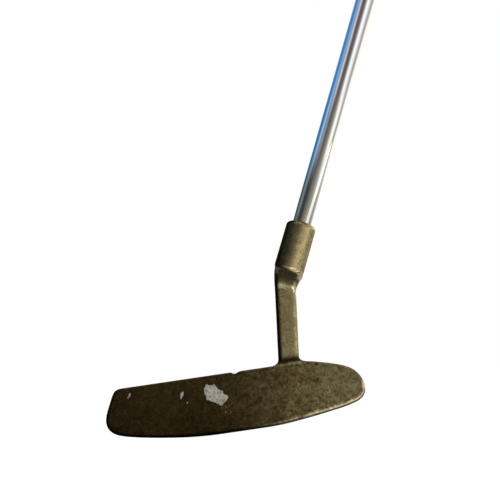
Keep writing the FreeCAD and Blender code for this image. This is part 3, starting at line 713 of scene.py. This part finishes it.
    # painted shade on the hosel's underside, darker towards the toe
    underside_shade = M3(M3(T.step(-0.48, -0.76, nz), T.step(60.0, 64.0, z)), SUB(1.0, rim_highlight))
    col = T.mix(M3(underside_shade, 0.85), col, T.mix(T.step(28.0, 33.0, x), (0.088, 0.080, 0.058), (0.125, 0.115, 0.090)))
    # painted shade on the toe-facing side under the hosel
    toe_flank_shade = M3(M3(T.step(-0.12, -0.45, nx), T.step(60.0, 64.0, z)), T.step(T0 + 1.6, T0 + 0.2, t_ax))
    col = T.mix(M3(toe_flank_shade, 0.85), col, (0.040, 0.035, 0.021))
    # painted highlight on the knee under the hosel, most of all its toe side
    knee_highlight = M3(M3(T.step(69.0, 70.2, t_ax), T.step(74.0, 72.8, t_ax)), M3(M3(T.step(-0.2, -0.5, ny), T.step(58.0, 61.0, z)), SUB(1.0, underside_shade)))
    knee_highlight = M3(M3(knee_highlight, SUB(1.0, rim_highlight)), M3(T.step(34.0, 30.5, x), T.step(-0.30, -0.06, nx)))
    col = T.mix(M3(knee_highlight, 0.70), col, (0.34, 0.30, 0.18))
    # painted glint across the bend, on the toe's half of the post
    glint = M3(M3(bend, T.step(-0.30, -0.06, nx)), T.step(32.6, 29.6, x))
    col = T.mix(M3(glint, 0.85), col, (1.0, 0.94, 0.62))
    # the heel's metal is cooler, and the bevel under it is worn, with a painted pale highlight
    col = T.mix(M3(M3(heelward, blade), 0.8), col, T.mix(1.0, col, (0.98, 1.0, 1.10), "MULTIPLY"))
    col = T.mix(M3(M3(M3(edge, sole_wear_and_highlight), T.step(8, 34, x)), 0.55), col, (0.86, 0.82, 0.70))
    # bare patch in the middle of the face and a few chips beside it
    wob = T.noise(2.4, 4, 0.65)
    wx = ADD(x, M3(SUB(wob, 0.5), 3.0))
    wz = ADD(z, M3(SUB(T.noise(2.1, 4, 0.65, vec=T.vmath("ADD", T.pos, (0.5, 0, 0))), 0.5), 2.8))
    ring = [(-14.03, 20.61), (-12.32, 23.11), (-8.7, 22.13), (-2.5, 15.77), (-6.66, 12.31), (-12.67, 16.32)]
    dist = None
    for (x0, z0), (x1, z1) in zip(ring, ring[1:] + ring[:1]):
        ex, ez = x1 - x0, z1 - z0
        L = math.hypot(ex, ez)
        ax_, az_ = -ez / L, ex / L
        if ax_ * (-9.0 - x0) + az_ * (18.0 - z0) > 0:
            ax_, az_ = -ax_, -az_
        d = ADD(M3(wx, ax_), ADD(M3(wz, az_), -(ax_ * x0 + az_ * z0)))
        dist = d if dist is None else T.math("MAXIMUM", dist, d)
    for cx, cz, rx, rz in ((-48.2, 23.1, 0.50, 0.95), (-23.9, 19.9, 0.85, 1.25), (-24.5, 18.6, 0.45, 0.75), (-21.9, 15.9, 0.36, 0.40), (-48.9, 22.2, 0.3, 0.5)):
        dx = T.math("DIVIDE", SUB(ADD(M3(wx, 0.4), M3(x, 0.6)), cx), rx)
        dz = T.math("DIVIDE", SUB(SUB(z, M3(SUB(x, cx), 0.8)), cz), rz)
        d = SUB(T.math("SQRT", ADD(M3(dx, dx), M3(dz, dz))), 1.0)
        dist = T.math("MINIMUM", dist, M3(d, 0.5))
    bare = M3(T.step(0.16, -0.20, dist), onface)
    # crumbs of bare metal below the patch
    crumb = M3(T.step(0.56, 0.62, T.noise(0.9, 3, 0.6, vec=T.vmath("ADD", T.pos, (0.2, 0.7, 0.1)))),
               T.step(4.4, 1.4, T.math("SQRT", ADD(T.math("POWER", T.math("ABSOLUTE", ADD(x, 3.9)), 2.0), T.math("POWER", T.math("ABSOLUTE", SUB(z, 11.0)), 2.0)))))
    crumb = M3(crumb, onface)
    col = T.mix(M3(crumb, 0.8), col, (0.50, 0.42, 0.20))
    streak = T.noise(2.2, 3, 0.65, vec=T.join(M3(ADD(x, M3(z, 0.6)), 0.0006), 0.0, M3(SUB(z, M3(x, 0.8)), 0.0016)))
    flake = T.noise(1.3, 4, 0.7, vec=T.vmath("ADD", T.pos, (0.05, 0.3, 0.9)))
    pale = T.mix(T.step(0.36, 0.62, ADD(M3(streak, 0.6), M3(flake, 0.4))), (0.56, 0.53, 0.44), (1.0, 0.985, 0.93))
    pale = T.mix(T.step(0.54, 0.62, flake), pale, (1.0, 0.995, 0.96))
    pale = T.mix(T.step(0.44, 0.35, flake), pale, (0.36, 0.34, 0.28))
    col = T.mix(M3(bare, 0.96), col, pale)
    # a darker line where the plating has lifted round the bare metal
    lip = M3(M3(T.step(0.95, 0.25, dist), SUB(1.0, bare)), onface)
    col = T.mix(M3(lip, 0.35), col, (0.035, 0.026, 0.012))
    T.put(T.b.inputs["Base Color"], col)
    # less metal on the bare patch and where highlights and shade are painted
    T.put(T.b.inputs["Metallic"], SUB(SUB(SUB(0.95, M3(bare, 0.93)), T.math("MAXIMUM", M3(knee_highlight, 0.40), M3(glint, 0.45))), ADD(M3(underside_shade, 0.70), ADD(M3(toe_flank_shade, 0.15), M3(rim_highlight, ADD(0.22, M3(M3(T.step(0.20, -0.15, nx), T.step(-0.75, -0.35, nx)), 0.30)))))))
    T.b.inputs["Specular Tint"].default_value = (0.45, 0.42, 0.32, 1)
    rough = ADD(T.mix(blade, (0.19, 0.19, 0.19), (0.31, 0.31, 0.31)), M3(mottle, 0.14))
    rough = SUB(rough, M3(edge, ADD(0.05, M3(sole_wear_and_highlight, 0.08))))
    rough = SUB(rough, M3(ADD(bend, rim_highlight), 0.08))
    rough = T.math("ADD", rough, M3(ADD(pit, bare), 0.22), clamp=True)
    T.put(T.b.inputs["Roughness"], rough)
    h = ADD(M3(grain, 0.55), M3(fine, 0.25))
    h = ADD(h, M3(mottle, 0.5))
    h = SUB(h, M3(pock, 0.5))
    h = SUB(h, M3(bare, SUB(1.1, M3(flake, 1.2))))
    T.put(T.b.inputs["Normal"], T.bump(h, 0.035))
    return T


bronze().done(head)


def chrome():
    T = Tree("chrome_plate")
    haze = T.noise(9, 4, 0.6)
    fleck = T.step(0.66, 0.76, T.noise(1.1, 4, 0.65))
    patch = T.step(0.50, 0.66, T.noise(14, 3, 0.6, vec=T.vmath("ADD", T.pos, (0.4, 0.1, 0.8))))
    pit = T.math("MULTIPLY", fleck, T.math("ADD", 0.25, T.math("MULTIPLY", patch, 0.75)))
    c = T.mix(T.math("MULTIPLY", pit, 0.55), (0.80, 0.80, 0.81), (0.40, 0.33, 0.26))
    # painted shade above the hosel, on the heel's side
    x, y, z = T.xyz(T.vmath("MULTIPLY", T.pos, (1000, 1000, 1000)))
    geo = T.t.nodes.new("ShaderNodeNewGeometry")
    nx, ny, nz = T.xyz(geo.outputs["Normal"])
    t_ax = T.math("ADD", T.math("MULTIPLY", T.math("SUBTRACT", x, GX), float(S[0])), T.math("MULTIPLY", z, float(S[2])))
    heel_side_shade = T.math("MULTIPLY", T.step(128.0, 102.0, t_ax), T.math("MULTIPLY", T.step(0.12, 0.40, nx), T.step(0.88, 0.70, nx)))
    c = T.mix(T.math("MULTIPLY", heel_side_shade, 0.9), c, (0.47, 0.475, 0.48))
    T.put(T.b.inputs["Base Color"], c)
    T.b.inputs["Metallic"].default_value = 1.0
    T.put(T.b.inputs["Roughness"], T.math("ADD", T.math("ADD", 0.02, T.math("MULTIPLY", haze, 0.05)), T.math("MULTIPLY", pit, 0.30)))
    T.put(T.b.inputs["Normal"], T.bump(T.math("SUBTRACT", T.noise(5, 2, 0.5), T.math("MULTIPLY", pit, 0.6)), 0.006))
    return T


chrome().done(shaft)


def rubber(name, base, rough, grain_mm):
    T = Tree(name)
    n = T.noise(12, 4, 0.6)
    g = T.noise(grain_mm, 3, 0.6)
    c = T.mix(T.step(0.35, 0.7, n), tuple(b * 0.8 for b in base), tuple(b * 1.35 for b in base))
    c = T.mix(T.math("MULTIPLY", T.step(0.62, 0.8, T.noise(0.8, 3, 0.6)), 0.25), c, (0.10, 0.098, 0.092))
    T.put(T.b.inputs["Base Color"], c)
    T.put(T.b.inputs["Roughness"], T.math("ADD", rough - 0.08, T.math("MULTIPLY", n, 0.18)))
    T.put(T.b.inputs["Normal"], T.bump(g, 0.04))
    return T


rubber("grip_rubber", (0.018, 0.018, 0.0185), 0.62, 0.45).done(grip)
rubber("cap_rubber", (0.022, 0.022, 0.0225), 0.5, 0.8).done(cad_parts["grip_cap"])


def plain(name, base, rough, size, depth, dark=0.6):
    T = Tree(name)
    n = T.noise(size, 4, 0.6)
    T.put(T.b.inputs["Base Color"], T.mix(T.step(0.3, 0.75, n), tuple(b * dark for b in base), base))
    T.put(T.b.inputs["Roughness"], T.math("ADD", rough - 0.1, T.math("MULTIPLY", n, 0.2)))
    T.put(T.b.inputs["Normal"], T.bump(n, depth))
    return T


plain("white_enamel", (0.95, 0.94, 0.86), 0.5, 0.7, 0.03, 0.85).done(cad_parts["sight_paint"])
plain("cured_epoxy", (0.42, 0.34, 0.18), 0.35, 1.0, 0.02).done(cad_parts["hosel_epoxy"])
plain("plug_plastic", (0.62, 0.60, 0.54), 0.55, 1.5, 0.02, 0.85).done(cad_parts["shaft_tip_plug"])
plain("paper_tape", (0.66, 0.57, 0.40), 0.85, 0.6, 0.03, 0.8).done(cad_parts["grip_tape"])

# ------------------------------------------------------------------ floor, light, camera
bpy.ops.mesh.primitive_plane_add(size=12.0, location=(0, 0, -0.0002))
floor = bpy.context.active_object
floor.name = "floor"
fm = Tree("pale_floor")
fm.put(fm.b.inputs["Base Color"], fm.mix(fm.noise(60, 3, 0.5), (0.28, 0.28, 0.28), (0.32, 0.32, 0.32)))
fm.b.inputs["Roughness"].default_value = 0.9
fm.b.inputs["Specular IOR Level"].default_value = 0.1
fm.b.inputs["Emission Color"].default_value = (1, 1, 1, 1)
fm.b.inputs["Emission Strength"].default_value = 0.96
# what the club sees of the floor is a glow hidden from the camera, which lights it and shows in its reflections: dark
# under the toe's half, bright ahead of the heel
dim = fm.t.nodes.new("ShaderNodeEmission")
fx, fy, fz = fm.xyz(fm.pos)
zone = fm.math("SUBTRACT", 1.35, fm.math("MULTIPLY", fm.step(-0.040, -0.060, fy), 0.80))
zone = fm.math("ADD", zone, fm.math("MULTIPLY", fm.step(-0.11, -0.24, fy), 1.15))
lit = fm.math("MULTIPLY", fm.step(-0.004, 0.036, fx), fm.step(-0.0108, -0.0145, fy))
lit = fm.math("MULTIPLY", lit, zone)
back_lit = fm.step(0.02, 0.06, fy)
lit = fm.math("MAXIMUM", lit, fm.math("MULTIPLY", back_lit, 0.6))
lit = fm.math("MAXIMUM", lit, fm.math("MULTIPLY", fm.step(0.004, 0.03, fx), 0.075))
glow = fm.t.nodes.new("ShaderNodeVectorMath")
glow.operation = "SCALE"
glow.inputs[0].default_value = (0.97, 0.93, 0.80)
fm.link(fm.math("ADD", lit, 0.030), glow.inputs["Scale"])
fm.link(glow.outputs[0], dim.inputs["Color"])
dim.inputs["Strength"].default_value = 1.0
path = fm.t.nodes.new("ShaderNodeLightPath")
both = fm.t.nodes.new("ShaderNodeMixShader")
fm.link(path.outputs["Is Camera Ray"], both.inputs[0])
fm.link(dim.outputs[0], both.inputs[1])
fm.link(fm.b.outputs[0], both.inputs[2])
fm.link(both.outputs[0], fm.t.nodes["Material Output"].inputs["Surface"])
fm.done(floor)

scene = bpy.context.scene
world = bpy.data.worlds.new("studio")
scene.world = world
world.use_nodes = True
wt = world.node_tree
for n in list(wt.nodes):
    wt.nodes.remove(n)


def wn(kind, **kw):
    n = wt.nodes.new(kind)
    for k, val in kw.items():
        setattr(n, k, val)
    return n


def wmath(op, a, b=0.0):
    n = wn("ShaderNodeMath", operation=op)
    for s, val in ((n.inputs[0], a), (n.inputs[1], b)):
        if isinstance(val, (int, float)):
            s.default_value = val
        else:
            wt.links.new(val, s)
    return n.outputs[0]


def wramp(fac, stops):
    n = wn("ShaderNodeValToRGB")
    wt.links.new(fac, n.inputs[0])
    el = n.color_ramp.elements
    while len(el) < len(stops):
        el.new(0.5)
    for e, (a, c) in zip(el, stops):
        e.position = (a + 180.0) / 360.0
        e.color = tuple(c) + (1,)
    return n.outputs["Color"]


def wstep(lo, hi, v):
    n = wn("ShaderNodeMapRange", interpolation_type="SMOOTHSTEP")
    wt.links.new(v, n.inputs[0])
    n.inputs[1].default_value = lo
    n.inputs[2].default_value = hi
    return n.outputs[0]


def wmix(fac, a, b):
    n = wn("ShaderNodeMix", data_type="RGBA")
    for s, val in ((n.inputs[0], fac), (n.inputs[6], a), (n.inputs[7], b)):
        if isinstance(val, tuple):
            s.default_value = val + (1,)
        else:
            wt.links.new(val, s)
    return n.outputs[2]


tc = wn("ShaderNodeTexCoord")
sep = wn("ShaderNodeSeparateXYZ")
wt.links.new(tc.outputs["Generated"], sep.inputs[0])
az = wmath("ARCTAN2", sep.outputs[0], wmath("MULTIPLY", sep.outputs[1], -1.0))       # 0 ahead of the face, positive to the heel
az = wmath("ADD", wmath("MULTIPLY", az, 0.5 / math.pi), 0.5)
along = wn("ShaderNodeVectorMath", operation="DOT_PRODUCT")
wt.links.new(tc.outputs["Generated"], along.inputs[0])
along.inputs[1].default_value = (float(S[0]), 0.0, float(S[2]))
along = along.outputs["Value"]
# a studio of soft cards round the club, in four belts from the floor up
low = wramp(az, [(-180, (.55, .56, .54)), (-150, (.20, .21, .20)), (-110, (.028, .032, .030)), (-60, (.026, .028, .024)), (-40, (.042, .041, .032)),
                 (-20, (.095, .087, .066)), (-5, (.20, .18, .135)), (10, (.31, .28, .21)), (24, (.46, .43, .34)), (38, (.72, .69, .58)),
                 (52, (1.10, 1.08, .98)), (66, (1.0, .98, .90)), (84, (.62, .60, .52)), (104, (.52, .50, .44)), (130, (.60, .60, .55)), (165, (.70, .70, .67))])
belt1 = wramp(az, [(-180, (0.12, 0.16, 0.18)), (-155, (0.06, 0.095, 0.115)), (-135, (0.05, 0.09, 0.11)), (-116, (0.088, 0.138, 0.164)),
                 (-96, (0.218, 0.279, 0.304)), (-76, (0.179, 0.229, 0.25)), (-57, (0.054, 0.066, 0.068)), (-38, (0.046, 0.05, 0.047)),
                 (-20, (0.078, 0.074, 0.062)), (-5, (0.167, 0.152, 0.121)), (10, (0.236, 0.218, 0.173)), (24, (0.298, 0.296, 0.263)),
                 (38, (0.447, 0.484, 0.469)), (52, (0.675, 0.77, 0.798)), (62, (0.554, 0.607, 0.61)), (71, (0.374, 0.38, 0.352)),
                 (84, (0.198, 0.192, 0.17)), (92, (0.187, 0.187, 0.17)), (102, (0.431, 0.455, 0.461)), (114, (1.246, 1.336, 1.419)),
                 (126, (1.15, 1.15, 1.12)), (166, (1.15, 1.15, 1.12)), (176, (0.3, 0.36, 0.38))])
belt2 = wramp(az, [(-180, (0.25, 0.36, 0.45)), (-155, (0.1, 0.24, 0.38)), (-138, (0.035, 0.17, 0.35)), (-118, (0.022, 0.175, 0.449)),
                 (-96, (0.075, 0.328, 0.673)), (-74, (0.424, 0.686, 0.987)), (-60, (0.384, 0.502, 0.624)), (-48, (0.214, 0.273, 0.354)),
                 (-34, (0.301, 0.383, 0.503)), (-24, (0.286, 0.32, 0.362)), (-14, (0.147, 0.148, 0.158)), (-2, (0.131, 0.12, 0.103)),
                 (12, (0.224, 0.204, 0.172)), (26, (0.326, 0.296, 0.247)), (40, (0.74, 0.741, 0.645)), (52, (1.354, 1.368, 1.283)),
                 (62, (1.263, 1.242, 1.193)), (72, (0.842, 0.817, 0.748)), (83, (0.403, 0.38, 0.331)), (92, (0.453, 0.447, 0.376)),
                 (102, (0.898, 0.911, 0.769)), (115, (1.274, 1.29, 1.116)), (168, (1.15, 1.15, 1.05)), (176, (0.45, 0.55, 0.6))])
belt3 = wramp(az, [(-180, (0.5, 0.6, 0.7)), (-160, (0.26, 0.42, 0.58)), (-140, (0.06, 0.25, 0.5)), (-119, (0.03, 0.24, 0.62)),
                 (-96, (0.085, 0.296, 0.662)), (-73, (0.274, 0.477, 0.798)), (-51, (0.245, 0.394, 0.64)), (-40, (0.41, 0.485, 0.602)),
                 (-30, (0.746, 0.808, 0.902)), (-22, (0.583, 0.56, 0.586)), (-14, (0.31, 0.261, 0.257)), (-5, (0.145, 0.115, 0.106)),
                 (2, (0.124, 0.097, 0.088)), (15, (0.209, 0.177, 0.171)), (23, (0.341, 0.322, 0.308)), (30, (0.78, 0.792, 0.767)),
                 (41, (1.257, 1.309, 1.289)), (54, (1.041, 1.041, 1.024)), (62, (0.84, 0.803, 0.794)), (70, (0.537, 0.49, 0.492)),
                 (83, (0.415, 0.396, 0.38)), (91, (0.66, 0.646, 0.602)), (98, (1.091, 1.089, 1.007)), (110, (1.211, 1.205, 1.104)),
                 (168, (1.2, 1.2, 1.17)), (176, (0.7, 0.75, 0.8))])
sky = wmix(wstep(0.25, 0.295, along), low, belt1)
sky = wmix(wstep(0.315, 0.40, along), sky, belt2)
sky = wmix(wstep(0.42, 0.485, along), sky, belt3)
# high up, a soft white canopy
sky = wmix(wstep(0.61, 0.70, along), sky, (1.05, 1.05, 1.02))
sky = wmix(wstep(0.88, 0.96, sep.outputs[2]), sky, (.90, .90, .88))
lp = wn("ShaderNodeLightPath")
bg1 = wn("ShaderNodeBackground")
bg2 = wn("ShaderNodeBackground")
wt.links.new(sky, bg1.inputs[0])
bg1.inputs[1].default_value = 1.0
bg2.inputs[0].default_value = (1, 1, 1, 1)
bg2.inputs[1].default_value = 1.0
ms = wn("ShaderNodeMixShader")
out = wn("ShaderNodeOutputWorld")
wt.links.new(lp.outputs["Is Camera Ray"], ms.inputs[0])
wt.links.new(bg1.outputs[0], ms.inputs[1])
wt.links.new(bg2.outputs[0], ms.inputs[2])
wt.links.new(ms.outputs[0], out.inputs[0])

cam_data = bpy.data.cameras.new("camera")
cam = bpy.data.objects.new("camera", cam_data)
scene.collection.objects.link(cam)
cam_data.sensor_width = 36.0
cam_data.lens = 620.11742 / 500 * 36.0
cam_data.clip_start = 0.01
cam_data.clip_end = 50
pitch, roll = 0.23758, -0.146
fwd = np.array([0, math.cos(pitch), math.sin(pitch)])
right = np.array([1.0, 0, 0])
upv = np.cross(right, fwd)
rv = math.cos(roll) * right + math.sin(roll) * upv
uv = -math.sin(roll) * right + math.cos(roll) * upv
pos = np.array([16.89936, -291.81849 + FACE_Y, 12.29482]) * MM
M = Matrix.Identity(4)
for i in range(3):
    M[i][0], M[i][1], M[i][2], M[i][3] = rv[i], uv[i], -fwd[i], pos[i]
cam.matrix_world = M
scene.camera = cam
scene.view_settings.view_transform = "Standard"
scene.view_settings.look = "None"
